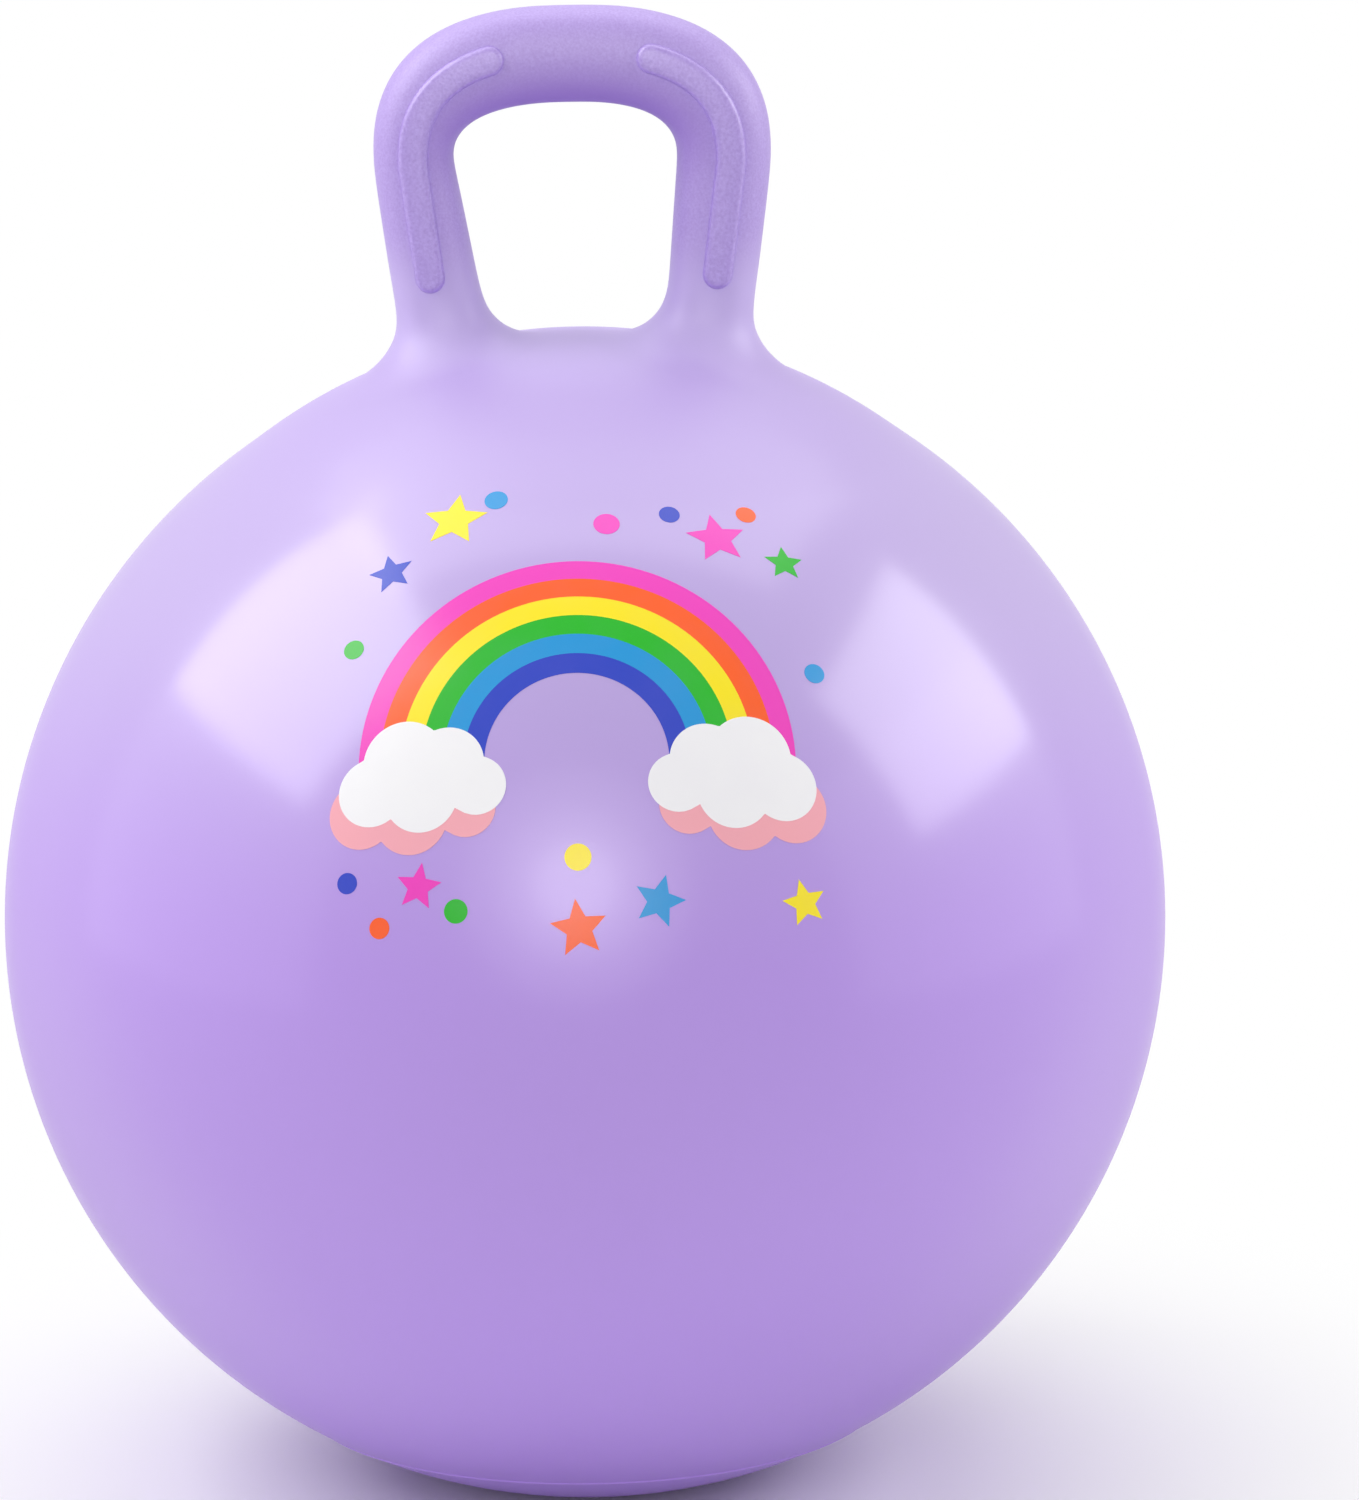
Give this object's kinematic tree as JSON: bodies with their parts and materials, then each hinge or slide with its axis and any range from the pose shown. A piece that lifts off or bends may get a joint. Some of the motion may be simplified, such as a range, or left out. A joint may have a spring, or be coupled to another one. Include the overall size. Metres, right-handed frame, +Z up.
{
  "type": "hopper ball",
  "caption": "Hollow inflated bouncing ball with a D-shaped carrying handle moulded in one skin, raised grip ridges, and a push-in stopper in a valve seat at the back.",
  "frame": {"origin": "centre of the flat patch that the ball rests on, at floor level", "axes": "+Z up through the middle of the handle, -Y towards the printed front, +Y towards the valve, +X to the right seen from the front"},
  "size_m": [0.4499, 0.4499, 0.5792],
  "materials": {
    "skin": "glossy moulded PVC, lavender",
    "valve": "soft moulded PVC, lavender",
    "stopper": "satin moulded polyethylene, white"
  },
  "bodies": {
    "ball": {"ball_skin": "skin", "valve_seat": "valve"},
    "plug": {"valve_plug": "stopper"}
  },
  "joints": [
    {"name": "plug_pull", "type": "slide", "parent": "ball", "child": "plug", "axis": [0, 1, 0], "range_m": [0, 0.03]}
  ]
}
